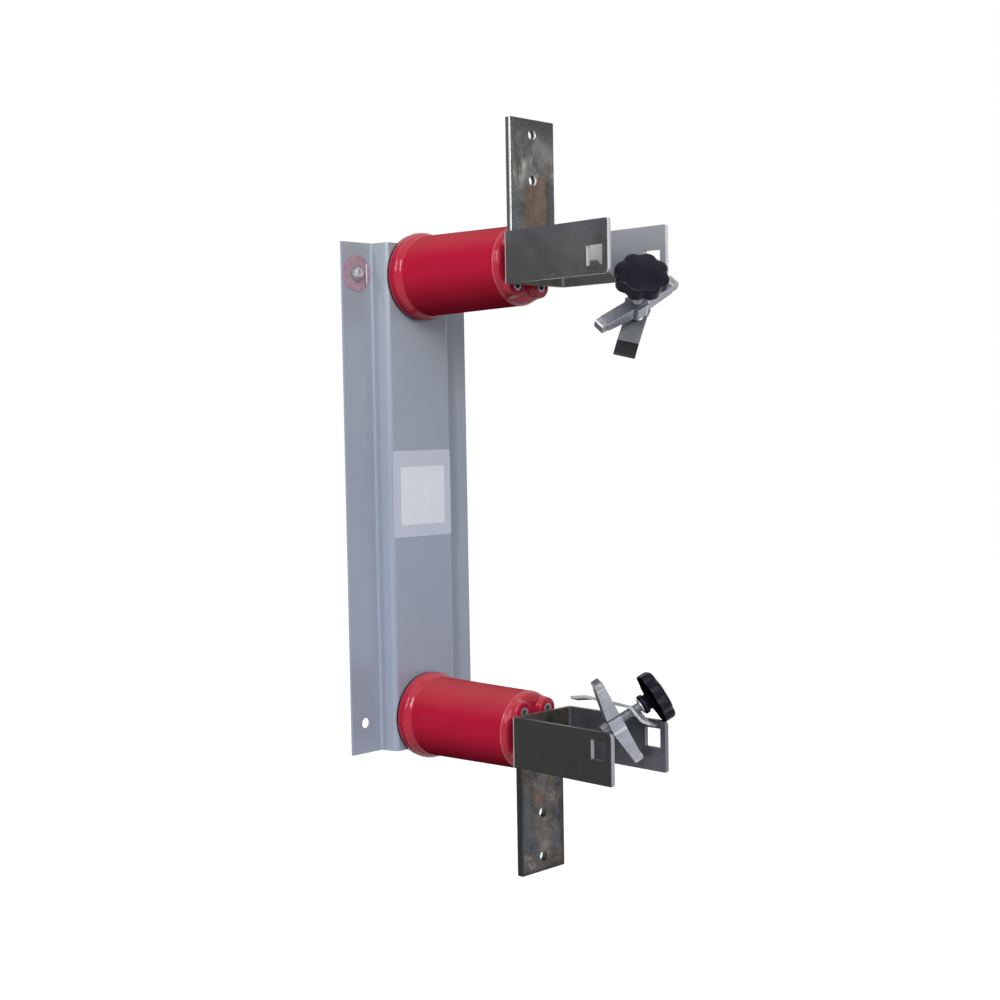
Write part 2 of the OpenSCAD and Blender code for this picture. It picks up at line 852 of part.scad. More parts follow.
module at_upper_hub() {
    at_upper_clamp()
        translate([0, 0, bar_front + upper_hub_gap])
            rotate([0, 0, upper_knob_turn])
                children();
}

module at_lower_hub() {
    at_lower_clamp()
        translate([0, 0, bar_front + lower_hub_gap])
            rotate([0, 0, lower_knob_turn])
                children();
}

module upper_clamp_bar() {
    color(cast_alloy)
    at_upper_clamp()
        clamp_bar();
}

module lower_clamp_bar() {
    color(cast_alloy)
    at_lower_clamp()
        clamp_bar();
}

module upper_pressure_strap() {
    color(mill_steel)
    placed([upper_strap_x, leg_tip_y + upper_strap_back, bracket_z - upper_strap_drop],
        upper_strap_turn, upper_strap_tilt, upper_strap_spin)
        strap();
}

module lower_pressure_strap() {
    color(mill_steel)
    placed([lower_strap_x, leg_tip_y + lower_strap_back, lower_strap_rise - bracket_z],
        lower_strap_turn, lower_strap_tilt, lower_strap_spin)
        strap();
}

module upper_hub_washer() {
    color(zinc)
    at_upper_hub()
        hub_washer();
}

module lower_hub_washer() {
    color(zinc)
    at_lower_hub()
        hub_washer();
}

module upper_clamp_screw() {
    color(zinc)
    at_upper_hub()
        clamp_screw();
}

module lower_clamp_screw() {
    color(zinc)
    at_lower_hub()
        clamp_screw();
}

module upper_clamp_knob() {
    color(knob_black)
    at_upper_hub()
        clamp_knob();
}

module lower_clamp_knob() {
    color(knob_black)
    at_lower_hub()
        clamp_knob();
}

base_channel();
rating_label();
ground_disc();
ground_lock_washer();
ground_screw();
upper_insulator();
lower_insulator();
upper_inserts();
lower_inserts();
upper_insulator_bolts();
lower_insulator_bolts();
upper_terminal_pad();
lower_terminal_pad();
upper_bracket();
lower_bracket();
upper_bracket_bolts();
lower_bracket_bolts();
upper_bracket_washers();
lower_bracket_washers();
upper_clamp_bar();
lower_clamp_bar();
upper_pressure_strap();
lower_pressure_strap();
upper_hub_washer();
lower_hub_washer();
upper_clamp_screw();
lower_clamp_screw();
upper_clamp_knob();
lower_clamp_knob();
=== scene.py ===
import math

import bpy
from mathutils import Matrix, Vector


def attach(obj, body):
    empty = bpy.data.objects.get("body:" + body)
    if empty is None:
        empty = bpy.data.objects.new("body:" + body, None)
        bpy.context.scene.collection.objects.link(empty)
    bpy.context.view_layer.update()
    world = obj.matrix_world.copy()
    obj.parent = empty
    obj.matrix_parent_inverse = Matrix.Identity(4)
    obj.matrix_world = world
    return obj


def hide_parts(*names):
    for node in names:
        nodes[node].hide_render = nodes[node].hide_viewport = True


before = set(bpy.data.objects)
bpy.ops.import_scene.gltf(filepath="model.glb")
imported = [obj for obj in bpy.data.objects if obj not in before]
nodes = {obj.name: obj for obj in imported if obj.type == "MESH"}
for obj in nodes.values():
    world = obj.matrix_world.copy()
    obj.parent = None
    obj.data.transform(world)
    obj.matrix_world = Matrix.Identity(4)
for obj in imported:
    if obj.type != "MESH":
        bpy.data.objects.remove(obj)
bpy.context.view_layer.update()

MM = 0.001
SIDES = ("upper", "lower")

# Camera at the photograph's view: its place in metres, its angles in degrees, and its lens
# in pixels of the photograph.
CAM_POS = (-1.190057, -1.246345, 0.073649)
CAM_YAW, CAM_PITCH, CAM_ROLL = 44.779, 3.241, -1.126
FOCAL_PX, CENTRE_X, CENTRE_Y = 1604.326, 439.172, 518.486
PHOTO_PX = 1000
SENSOR_MM = 36

# Places of the bars and straps, in mm and degrees: the piece's origin, then turn, tilt and spin.
CLAMP = {"upper": ((14.1, -301.85, 184.0), -132.6, 52.3, 125.0),
         "lower": ((-0.2, -280.45, -211.4), -37.5, 60.4, 14.4)}
STRAP = {"upper": ((29.6, -290.75, 179.0), -129.5, 42.6, 159.4),
         "lower": ((16.0, -290.75, -198.7), -15.8, 16.5, -56.4)}
# From the bar's front face to the knob's hub
HUB_GAP = {"upper": 16.2, "lower": 22.9}
# How far the strap's slot runs toward its free end
SLOT_REACH = {"upper": 13.5, "lower": 17.0}
# Turn of the knob about its screw, in degrees
KNOB_TURN = {"upper": 32.5, "lower": 0.0}
# From the bar's middle to its front face
BAR_FRONT = 7.2
# Heights of the insulators' and brackets' middles, up or down from the base's
INSULATOR_Z, BRACKET_Z = 232.5, 236.3


def placed(pos, turn, tilt, spin):
    """Matrix of a place in mm, with its turns about z, then y, then z in degrees."""
    return (Matrix.Translation(Vector(pos) * MM)
            @ Matrix.Rotation(math.radians(turn), 4, "Z")
            @ Matrix.Rotation(math.radians(tilt), 4, "Y")
            @ Matrix.Rotation(math.radians(spin), 4, "Z"))


def at_hub(side):
    """Place of a knob's hub, on its bar's screw axis."""
    return (placed(*CLAMP[side])
            @ Matrix.Translation((0, 0, (BAR_FRONT + HUB_GAP[side]) * MM))
            @ Matrix.Rotation(math.radians(KNOB_TURN[side]), 4, "Z"))


# Materials

class Look:
    """A node material on the Principled shader, with short calls for the usual nodes."""

    def __init__(self, name, rough=0.5, metal=0.0, spec=0.5):
        self.mat = bpy.data.materials.new(name)
        self.mat.use_nodes = True
        self.tree = self.mat.node_tree
        self.shader = self.tree.nodes["Principled BSDF"]
        self.shader.inputs["Metallic"].default_value = metal
        self.shader.inputs["Roughness"].default_value = rough
        self.shader.inputs["Specular IOR Level"].default_value = spec
        self.coords = self.new("TexCoord").outputs["Object"]
        self.normal = None

    def new(self, kind):
        return self.tree.nodes.new("ShaderNode" + kind)

    def put(self, socket, value):
        if isinstance(value, bpy.types.NodeSocket):
            self.tree.links.new(value, socket)
        elif isinstance(value, (tuple, list)) and len(value) == 3 and socket.type == "RGBA":
            socket.default_value = (*value, 1)
        else:
            socket.default_value = value

    def scaled(self, scale, turn=(0, 0, 0), shift=(0, 0, 0)):
        n = self.new("Mapping")
        self.put(n.inputs["Vector"], self.coords)
        n.inputs["Scale"].default_value = scale
        n.inputs["Rotation"].default_value = turn
        n.inputs["Location"].default_value = shift
        return n.outputs[0]

    def noise(self, scale, detail=3, rough=0.55, warp=0.0, vec=None):
        n = self.new("TexNoise")
        self.put(n.inputs["Vector"], vec or self.coords)
        n.inputs["Scale"].default_value = scale
        n.inputs["Detail"].default_value = detail
        n.inputs["Roughness"].default_value = rough
        n.inputs["Distortion"].default_value = warp
        return n.outputs["Fac"]

    def ramp(self, fac, *stops):
        n = self.new("ValToRGB")
        self.put(n.inputs[0], fac)
        marks = n.color_ramp.elements
        while len(marks) < len(stops):
            marks.new(0.5)
        for mark, (place, value) in zip(marks, stops):
            mark.position = place
            mark.color = (*value, 1) if isinstance(value, tuple) else (value, value, value, 1)
        return n.outputs[0]

    def math(self, op, a, b=0.0, clamp=False):
        n = self.new("Math")
        n.operation = op
        n.use_clamp = clamp
        self.put(n.inputs[0], a)
        self.put(n.inputs[1], b)
        return n.outputs[0]

    def times(self, first, *others):
        for other in others:
            first = self.math("MULTIPLY", first, other)
        return first

    def size(self, value):
        return self.math("ABSOLUTE", value)

    def rise(self, fac, low, high, top=1.0):
        """0 below low, then a slope up to top at high."""
        return self.ramp(fac, (low, 0.0), (high, top))

    def mix(self, fac, a, b, mode="MIX"):
        n = self.new("Mix")
        n.data_type = "RGBA"
        n.blend_type = mode
        self.put(n.inputs[0], fac)
        self.put(n.inputs[6], a)
        self.put(n.inputs[7], b)
        return n.outputs[2]

    def axis(self, which, source=None):
        n = self.new("SeparateXYZ")
        self.put(n.inputs[0], source or self.coords)
        return n.outputs[which]

    def face(self, which):
        """The surface's own direction along one axis of the world."""
        return self.axis(which, self.new("NewGeometry").outputs["Normal"])

    def own_face(self, which):
        """The surface's own direction along one axis of the piece itself."""
        return self.axis(which, self.new("TexCoord").outputs["Normal"])

    def edges(self, low=0.06, high=0.16):
        """1 where a rounded edge turns away from the piece's own axes."""
        x, y, z = (self.size(self.own_face(i)) for i in range(3))
        most = self.math("MAXIMUM", x, self.math("MAXIMUM", y, z))
        return self.rise(self.math("SUBTRACT", 1.0, most), low, high)

    def between(self, value, low, high, soft=0.0002):
        """1 inside a range, with soft ends."""
        up = self.math("MULTIPLY", self.math("SUBTRACT", value, low), 1 / soft, True)
        down = self.math("MULTIPLY", self.math("SUBTRACT", high, value), 1 / soft, True)
        return self.math("MULTIPLY", up, down, True)

    def bump(self, height, depth, strength=1.0):
        n = self.new("Bump")
        n.inputs["Strength"].default_value = strength
        n.inputs["Distance"].default_value = depth
        self.put(n.inputs["Height"], height)
        if self.normal:
            self.put(n.inputs["Normal"], self.normal)
        self.normal = n.outputs[0]
        self.put(self.shader.inputs["Normal"], self.normal)

    def color(self, value):
        self.put(self.shader.inputs["Base Color"], value)

    def rough(self, value):
        self.put(self.shader.inputs["Roughness"], value)

    def metal(self, value):
        self.put(self.shader.inputs["Metallic"], value)

    def spec(self, value):
        self.put(self.shader.inputs["Specular IOR Level"], value)


def base_paint():
    """Blue-grey coat with a fine skin and faint clouds, a little greyer toward the top."""
    k = Look("base_paint", 0.26, spec=0.5)
    cloud = k.noise(6, 4, 0.6)
    fine = k.noise(900, 2, 0.5)
    tone = k.ramp(cloud, (0.3, (0.282, 0.322, 0.410)), (0.7, (0.312, 0.355, 0.445)))
    top = k.rise(k.axis(2), 0.0, 0.26, 0.6)
    tone = k.mix(top, tone, (0.325, 0.362, 0.385))
    k.color(k.mix(k.times(fine, 0.08), tone, (0.40, 0.43, 0.48)))
    k.rough(k.ramp(k.noise(60, 4), (0.3, 0.20), (0.75, 0.28)))
    k.bump(k.noise(650, 2, 0.5), 0.0002, 0.12)
    k.bump(k.noise(9, 1, 0.4), 0.002, 0.03)
    return k.mat


def label_film():
    """Satin film with a paler plain panel."""
    k = Look("label_film", 0.38, spec=0.45)
    x, z = k.axis(0), k.axis(2)
    panel = k.times(k.between(x, -0.0312, 0.0331), k.between(z, -0.0287, 0.0329))
    cloud = k.noise(30, 4, 0.6)
    film = k.ramp(cloud, (0.3, (0.50, 0.53, 0.64)), (0.7, (0.54, 0.57, 0.67)))
    paper = k.ramp(cloud, (0.3, (0.70, 0.73, 0.81)), (0.7, (0.74, 0.77, 0.84)))
    k.color(k.mix(panel, film, paper))
    k.rough(k.mix(panel, (0.34, 0.34, 0.34), (0.55, 0.55, 0.55)))
    k.bump(k.noise(1500, 2, 0.5), 0.0001, 0.15)
    k.bump(panel, 0.00015, 0.5)
    return k.mat


def disc_finish():
    """Thin dusty primer, rubbed, with a painted highlight where it turns up onto the bend and a
    painted shade line beside that.
    """
    k = Look("disc_finish", 0.45, spec=0.3)
    dust = k.noise(160, 5, 0.65)
    x, z = k.axis(0), k.axis(2)
    wear = k.rise(k.noise(420, 4, 0.6), 0.50, 0.64)
    tone = k.ramp(dust, (0.3, (0.33, 0.185, 0.245)), (0.7, (0.42, 0.29, 0.35)))
    tone = k.mix(k.times(wear, 0.45), tone, (0.40, 0.40, 0.47))
    # Painted highlight where the disc turns up onto the bend
    fold_highlight = k.between(x, -0.0572, -0.0552, 0.0006)
    tone = k.mix(k.times(fold_highlight, k.between(z, 0.224, 0.246, 0.002)), tone, (0.80, 0.80, 0.86))
    # Painted shade line beside the turned-up strip
    crease_shade = k.between(x, -0.0592, -0.0572, 0.0005)
    tone = k.mix(k.times(crease_shade, 0.6), tone, (0.16, 0.14, 0.20))
    k.color(tone)
    k.rough(k.ramp(dust, (0.3, 0.36), (0.7, 0.55)))
    k.bump(dust, 0.0003, 0.35)
    return k.mat


def zinc_steel(name="zinc_steel", shine=1.0):
    """Bright plated steel, with painted shade in the thread's root."""
    k = Look(name, 0.38, 0.6)
    fine = k.noise(700, 4, 0.6)
    dim, lit = (tuple(v * shine for v in c) for c in ((0.26, 0.285, 0.31), (0.46, 0.485, 0.515)))
    tone = k.ramp(fine, (0.3, dim), (0.7, lit))
    # Painted shade in the thread's root, by the distance from the screw's axis in units of 10 mm.
    x, y = k.axis(0), k.axis(1)
    far = k.math("SQRT", k.math("ADD", k.times(x, x), k.times(y, y)))
    groove_shade = k.ramp(k.times(far, 100.0), (0.415, 1.0), (0.455, 0.0))
    k.color(k.mix(k.times(groove_shade, 0.85), tone, (0.055, 0.065, 0.08)))
    k.rough(k.ramp(k.noise(300, 3), (0.3, 0.30), (0.7, 0.48)))
    k.bump(fine, 0.0001, 0.3)
    return k.mat


def insulator_resin():
    """Glossy moulded ends and a plainer body, with a painted highlight along the parting line, a
    painted sheen on top, painted shade underneath and painted shade at the foot.
    """
    k = Look("insulator_resin", 0.2)
    cloud = k.noise(11, 4, 0.6)
    y = k.axis(1)
    tone = k.ramp(cloud, (0.3, (0.400, 0.0110, 0.034)), (0.7, (0.465, 0.0150, 0.044)))
    dust = k.rise(k.noise(240, 5, 0.7), 0.64, 0.80)
    tone = k.mix(k.times(dust, 0.05), tone, (0.62, 0.30, 0.33))
    # Painted highlight along the parting line
    line = k.between(y, -0.1681, -0.1666, 0.0003)
    tone = k.mix(k.times(line, 0.36), tone, (0.75, 0.16, 0.22))
    # Painted sheen on the upper faces and painted shade on the lower ones
    tone = k.mix(k.rise(k.face(2), 0.35, 0.95, 0.42), tone, (0.58, 0.13, 0.13))
    tone = k.mix(k.rise(k.times(k.face(2), -1.0), 0.15, 0.95, 0.62), tone, (0.12, 0.006, 0.010))
    # Painted shade at the foot, where it meets the base
    foot = k.between(y, -0.0256, 0.0, 0.0012)
    k.color(k.mix(k.times(foot, 0.96), tone, (0.016, 0.011, 0.018)))
    turned = k.rise(k.size(k.face(1)), 0.05, 0.22, 0.26)
    k.spec(k.times(turned, k.math("SUBTRACT", 1.0, foot)))
    k.rough(k.ramp(k.noise(45, 5, 0.6), (0.3, 0.10), (0.7, 0.17)))
    k.bump(k.noise(60, 3, 0.5), 0.0005, 0.03)
    k.bump(k.noise(700, 2, 0.5), 0.0001, 0.03)
    return k.mat


def pad_steel():
    """Flat bar stock: the upper pad rubbed and heat-tinted, the lower one blotched and rusty, with
    painted shade on the side faces and in the bores and painted highlights along the upper pad's
    near edge.
    """
    k = Look("pad_steel", 0.33, 0.6)
    x, y, z = (k.axis(i) for i in range(3))
    wide, high = k.size(x), k.size(z)
    upper = k.math("GREATER_THAN", z, 0.0)
    cloud = k.noise(26, 7, 0.7, 0.6)
    fine = k.noise(240, 6, 0.72)
    strokes = k.noise(90, 6, 0.72, 0.5, k.scaled((1.0, 1.0, 0.30), (0, 0.12, 0)))
    # Upper pad
    grey = k.ramp(cloud, (0.38, (0.045, 0.046, 0.047)), (0.50, (0.105, 0.103, 0.100)),
                  (0.62, (0.19, 0.184, 0.174)))
    rubbed = k.times(k.rise(strokes, 0.50, 0.66), k.rise(k.noise(34, 4, 0.6), 0.42, 0.60))
    above = k.between(z, 0.288, 0.362, 0.014)
    grey = k.mix(k.times(rubbed, above), grey, (0.50, 0.48, 0.44))
    risen = k.math("SUBTRACT", z, k.times(x, 0.5))
    heat = k.times(k.between(risen, 0.15, 0.330, 0.022), k.between(x, -0.019, 0.0275, 0.009))
    heat = k.math("ADD", heat, k.times(k.math("SUBTRACT", cloud, 0.5), 1.6))
    heat = k.rise(heat, 0.55, 0.95)
    long_grain = k.noise(60, 5, 0.6, 0.3, k.scaled((1, 1, 0.35)))
    warm = k.ramp(long_grain, (0.35, (0.105, 0.062, 0.040)), (0.65, (0.185, 0.118, 0.084)))
    grey = k.mix(k.times(heat, 0.85), grey, warm)
    leftward = k.rise(k.times(x, -1.0), 0.013, 0.021, 0.8)
    beside = k.math("MAXIMUM", k.rise(wide, 0.022, 0.027), leftward)
    cool = k.times(k.between(z, 0.15, 0.314, 0.012), beside)
    grey = k.mix(k.times(cool, 0.75), grey, (0.080, 0.083, 0.098))
    ragged = k.math("ADD", k.times(x, 0.25), k.times(cloud, 0.012))
    top = k.math("ADD", z, ragged)
    grey = k.mix(k.rise(top, 0.357, 0.376, 0.85), grey, (0.040, 0.041, 0.046))
    # Lower pad
    spots = k.noise(48, 8, 0.74, 0.5)
    blot = k.ramp(spots, (0.36, (0.012, 0.012, 0.014)), (0.44, (0.034, 0.039, 0.055)),
                  (0.51, (0.064, 0.050, 0.037)), (0.58, (0.105, 0.090, 0.080)),
                  (0.68, (0.32, 0.29, 0.28)))
    patchy = k.rise(k.noise(28, 5, 0.65), 0.40, 0.62)
    grainy = k.ramp(k.noise(140, 6, 0.7), (0.38, 0.2), (0.58, 1.0))
    mid = k.times(k.between(x, -0.014, 0.014, 0.012), patchy, grainy)
    blot = k.mix(k.times(mid, 0.8), blot, (0.25, 0.225, 0.215))
    steely = k.noise(18, 3, 0.5, 0.3, k.scaled((1, 1, 0.6), shift=(0.1, 0, 0.07)))
    blot = k.mix(k.rise(steely, 0.53, 0.60, 0.8), blot, (0.060, 0.070, 0.085))
    rust = k.noise(30, 5, 0.65, 0.4, k.scaled((1, 1, 1), shift=(0.3, 0, 0)))
    blot = k.mix(k.times(k.rise(rust, 0.52, 0.64), 0.75), blot, (0.115, 0.078, 0.046))
    left = k.times(k.between(x, -0.030, -0.0165, 0.004), k.between(z, -0.353, -0.296, 0.010))
    right = k.times(k.between(x, 0.0095, 0.0265, 0.003), k.between(z, -0.3535, -0.332, 0.004))
    blot = k.mix(k.times(k.math("MAXIMUM", left, right), 0.6), blot, (0.062, 0.071, 0.083))
    burnt = k.times(k.between(x, -0.0165, 0.0005, 0.006), k.between(z, -0.3080, -0.2870, 0.007),
                    k.ramp(cloud, (0.36, 0.35), (0.56, 0.85)))
    blot = k.mix(burnt, blot, (0.150, 0.088, 0.046))
    foot = k.times(k.between(z, -0.380, -0.3555, 0.005), k.between(x, -0.006, 0.036, 0.010))
    blot = k.mix(k.times(foot, 0.7), blot, (0.042, 0.029, 0.020))
    rim = k.math("MAXIMUM", k.rise(wide, 0.0265, 0.0312), k.rise(high, 0.3655, 0.3725))
    blot = k.mix(k.times(rim, 0.85), blot, (0.010, 0.009, 0.009))
    tone = k.mix(upper, blot, grey)
    specks = k.rise(fine, 0.56, 0.74)
    tone = k.mix(k.times(specks, 0.28), tone, (0.40, 0.39, 0.37))
    # Painted shade on the side faces
    side = k.rise(k.size(k.own_face(0)), 0.55, 0.8)
    tone = k.mix(side, tone, k.mix(upper, (0.006, 0.006, 0.006), (0.070, 0.070, 0.074)))
    # Painted shade in the bores
    bore = k.times(k.math("LESS_THAN", k.size(k.own_face(1)), 0.5),
                   k.math("LESS_THAN", wide, 0.028), k.math("LESS_THAN", high, 0.371))
    tone = k.mix(bore, tone, (0.012, 0.010, 0.009))
    # Painted highlights: a bright line along the upper pad's near edge, and a strip beside it on
    # the side face
    edge = k.times(k.edges(), upper, k.math("LESS_THAN", x, 0.0))
    fading = k.ramp(k.noise(36, 4, 0.6, 0.2, k.scaled((1, 1, 0.5))), (0.36, 0.45), (0.56, 1.0))
    side_highlight = k.times(k.between(y, -0.1880, -0.1840, 0.0012),
                   k.math("LESS_THAN", k.own_face(0), -0.5), fading, upper)
    bright = k.math("MAXIMUM", edge, side_highlight)
    k.color(k.mix(bright, tone, (0.76, 0.76, 0.78)))
    k.metal(k.mix(bore, (0.6,) * 3, (0.0,) * 3))
    k.rough(k.ramp(cloud, (0.3, 0.24), (0.7, 0.40)))
    k.bump(cloud, 0.0004, 0.14)
    k.bump(fine, 0.0001, 0.3)
    return k.mat


def bracket_steel():
    """Dark scale on the outer faces, cleaner grey steel inside with a painted reflection and a
    painted shadow, bright cut faces in front, and a painted highlight down each outer bend.
    """
    k = Look("bracket_steel", 0.4)
    x, y, z = (k.axis(i) for i in range(3))
    outer = k.times(k.face(0), k.math("SIGN", x))
    inner = k.rise(k.times(outer, -1.0), 0.3, 0.6)
    cloud = k.noise(24, 7, 0.66, 0.6)
    drift = k.noise(11, 3, 0.5, 0.4)
    speck = k.noise(420, 5, 0.7)
    upper = k.math("GREATER_THAN", z, 0.0)
    warm = k.ramp(cloud, (0.28, (0.036, 0.035, 0.035)), (0.72, (0.066, 0.064, 0.062)))
    cold = k.ramp(cloud, (0.28, (0.038, 0.039, 0.047)), (0.72, (0.072, 0.073, 0.086)))
    high = k.rise(k.math("ADD", z, k.times(drift, 0.03)), 0.255, 0.268)
    dark = k.mix(high, warm, cold)
    streak = k.noise(40, 6, 0.7, 1.4, k.scaled((1, 0.8, 1.0), (0.5, 0, 0)))
    dark = k.mix(k.times(k.rise(streak, 0.60, 0.72), 0.30), dark, (0.14, 0.145, 0.155))
    soft = k.rise(k.noise(15, 4, 0.5, 0.6), 0.50, 0.68)
    dark = k.mix(k.times(soft, 0.35), dark, (0.105, 0.108, 0.115))
    low = k.ramp(cloud, (0.28, (0.0105, 0.0105, 0.0105)), (0.72, (0.0200, 0.0195, 0.0185)))
    dark = k.mix(upper, low, dark)
    # The cleaner inner faces: in the upper bracket a painted reflection makes them pale toward the
    # web and a painted shadow darkens them below a slope, in the lower one they are lighter toward
    # the legs' tips
    front = k.math("SUBTRACT", -0.2, y)
    clean = k.ramp(k.noise(16, 4, 0.55), (0.3, (0.228, 0.240, 0.270)), (0.7, (0.296, 0.308, 0.340)))
    fall = k.math("MAXIMUM", k.math("SUBTRACT", -0.2340, y), 0.0)
    slope = k.math("SUBTRACT", 0.2353, k.times(fall, 0.9))
    # Painted reflection: pale toward the web
    pale = k.times(k.ramp(front, (0.030, 1.0), (0.055, 0.0)), upper)
    clean = k.mix(pale, clean, (0.50, 0.51, 0.52))
    # Painted shadow below a slope
    below = k.times(k.math("ADD", k.math("SUBTRACT", slope, z), 0.012), 40.0)
    shade = k.rise(below, 0.46, 0.53)
    clean = k.mix(k.times(shade, upper, 0.9), clean, (0.088, 0.082, 0.076))
    darker_inner = k.ramp(k.noise(20, 5, 0.6, 0.4), (0.3, (0.062, 0.066, 0.078)),
                  (0.7, (0.095, 0.100, 0.114)))
    lighter_inner = k.ramp(k.noise(20, 5, 0.6), (0.3, (0.070, 0.074, 0.090)), (0.7, (0.096, 0.101, 0.119)))
    near_tip = k.rise(front, 0.050, 0.092)
    clean = k.mix(upper, k.mix(near_tip, darker_inner, lighter_inner), clean)
    tone = k.mix(inner, dark, clean)
    web = k.between(y, -0.1935, -0.18, 0.002)
    beige = k.ramp(k.noise(45, 6, 0.7), (0.35, (0.22, 0.19, 0.145)), (0.65, (0.07, 0.067, 0.062)))
    level = k.math("LESS_THAN", k.size(k.face(0)), 0.5)
    tone = k.mix(k.times(web, 0.75, level), tone, beige)
    dots = k.rise(speck, 0.55, 0.75)
    tone = k.mix(k.times(dots, 0.04), tone, (0.4, 0.4, 0.4))
    # Bright cut faces at the legs' tips, and a painted highlight line down each outer bend
    forward = k.rise(k.times(k.face(1), -1.0), 0.45, 0.7)
    cut = k.times(forward, k.math("LESS_THAN", y, -0.2))
    outward = k.rise(k.size(x), 0.0397, 0.0405)
    bright = k.mix(upper, k.mix(outward, (0.17, 0.17, 0.19), (0.34, 0.34, 0.37)),
                   k.mix(outward, (0.34, 0.35, 0.37), (0.68, 0.68, 0.70)))
    # Painted highlight down each outer bend
    bend_highlight = k.times(k.between(y, -0.1885, -0.1860, 0.0003),
                     k.math("GREATER_THAN", k.size(x), 0.0413))
    tone = k.mix(k.times(bend_highlight, 0.9), tone, (0.62, 0.58, 0.60))
    k.color(k.mix(cut, tone, bright))
    k.metal(k.mix(inner, k.mix(cut, (0.6,) * 3, (0.2,) * 3), (0.3,) * 3))
    k.rough(k.ramp(cloud, (0.3, 0.30), (0.7, 0.46)))
    k.bump(cloud, 0.0004, 0.14)
    k.bump(speck, 0.0001, 0.25)
    return k.mat


def cast_alloy():
    """Grainy casting with rough ends; broad faces painted darker as shade and sides lighter as lit,
    painted highlights on the edges, and painted shade on the end faces.
    """
    k = Look("cast_alloy", 0.42, 0.5)
    grain = k.noise(520, 5, 0.7)
    cloud = k.noise(70, 5, 0.65)
    along = k.axis(0)
    x = k.size(along)
    end = k.rise(x, 0.0395, 0.0402)
    flat = k.rise(k.size(k.own_face(2)), 0.6, 0.9)
    # Painted shade on the broad faces and painted light on the sides
    broad = k.ramp(cloud, (0.3, (0.125, 0.134, 0.168)), (0.7, (0.215, 0.226, 0.266)))
    sides = k.ramp(cloud, (0.3, (0.275, 0.290, 0.335)), (0.7, (0.390, 0.412, 0.462)))
    tone = k.mix(flat, sides, broad)
    tone = k.mix(k.times(grain, 0.3), tone, (0.24, 0.25, 0.28))
    worn = k.ramp(k.noise(260, 5, 0.75), (0.35, (0.20, 0.185, 0.175)), (0.65, (0.60, 0.60, 0.62)))
    tone = k.mix(k.times(end, 0.7), tone, worn)
    # Painted shade on the end faces
    tip = k.rise(k.size(k.own_face(0)), 0.7, 0.95)
    tone = k.mix(k.times(tip, end), tone, (0.12, 0.12, 0.135))
    # Painted highlights on the rounded edges, weaker at the ends and across one strip
    edge = k.times(k.edges(), k.math("SUBTRACT", 0.85, k.times(end, 0.55)))
    dim = k.between(along, -0.0092, -0.0060, 0.0003)
    edge = k.times(edge, k.math("SUBTRACT", 1.0, dim))
    tone = k.mix(edge, tone, (0.76, 0.77, 0.81))
    side = k.math("SUBTRACT", 1.0, flat)
    # Painted shade and painted highlight lines across the sides, where the boss meets the arms
    for low, high, line in ((-0.0083, -0.0070, (0.07, 0.075, 0.09)),
                            (0.0044, 0.0056, (0.80, 0.82, 0.86)),
                            (0.0058, 0.0077, (0.13, 0.135, 0.15)),
                            (0.0081, 0.0095, (0.80, 0.82, 0.86))):
        tone = k.mix(k.times(k.between(along, low, high, 0.0003), side), tone, line)
    k.color(tone)
    k.rough(k.ramp(grain, (0.3, 0.30), (0.7, 0.50)))
    k.bump(grain, 0.0003, 0.40)
    k.bump(cloud, 0.0008, 0.25)
    return k.mat


def knob_plastic():
    """Satin black moulding, with painted shade on its dull underside."""
    k = Look("knob_plastic", 0.34, spec=0.22)
    fine = k.noise(900, 3, 0.6)
    cloud = k.noise(50, 4, 0.6)
    tone = k.ramp(cloud, (0.3, (0.0030, 0.0037, 0.0080)), (0.7, (0.0070, 0.0081, 0.0155)))
    # Painted shade on the underside
    under = k.math("LESS_THAN", k.own_face(2), -0.3)
    k.color(k.mix(under, tone, (0.0035, 0.0035, 0.0045)))
    k.spec(k.math("SUBTRACT", 0.13, k.times(under, 0.13)))
    k.rough(k.ramp(cloud, (0.3, 0.28), (0.7, 0.42)))
    k.bump(fine, 0.00015, 0.25)
    return k.mat


def strap_steel(name, free_end, shade=1.0):
    """Clean rolled strip, with the colours of its free end given."""
    k = Look(name, 0.38, 0.45)
    cloud = k.noise(40, 5, 0.6, 0.4)
    speck = k.noise(420, 4, 0.65)
    tone = k.ramp(cloud, (0.3, (0.285, 0.300, 0.330)), (0.7, (0.385, 0.400, 0.430)))
    tone = k.mix(k.times(speck, 0.15), tone, (0.5, 0.5, 0.5))
    tone = k.mix(1.0, tone, (shade,) * 3, "MULTIPLY")
    pad = k.math("LESS_THAN", k.axis(0), -0.0468)
    tone = k.mix(pad, tone, k.ramp(speck, (0.3, free_end[0]), (0.7, free_end[1])))
    k.color(tone)
    k.rough(k.ramp(cloud, (0.3, 0.32), (0.7, 0.48)))
    k.bump(cloud, 0.0004, 0.12)
    k.bump(speck, 0.0001, 0.3)
    return k.mat


# Dark and light colours of a strap's free end
BLACK_END = (0.010, 0.010, 0.011), (0.022, 0.021, 0.023)
BARE_END = (0.24, 0.25, 0.26), (0.33, 0.345, 0.35)
LOOKS = {
    "base_channel": base_paint(),
    "rating_label": label_film(),
    "ground_disc": disc_finish(),
    "insulator": insulator_resin(),
    "terminal_pad": pad_steel(),
    "bracket": bracket_steel(),
    "clamp_bar": cast_alloy(),
    "pressure_strap": strap_steel("strap_steel", BLACK_END, 0.64),
    "knob": knob_plastic(),
    "zinc": zinc_steel(),
    "ground_screw": zinc_steel("bright_zinc", 1.8)}
PALE_STRAP = strap_steel("pale_strap", BARE_END)


def part_of(name):
    """A node's name without its side."""
    return name.split("_", 1)[1] if name.startswith(SIDES) else name


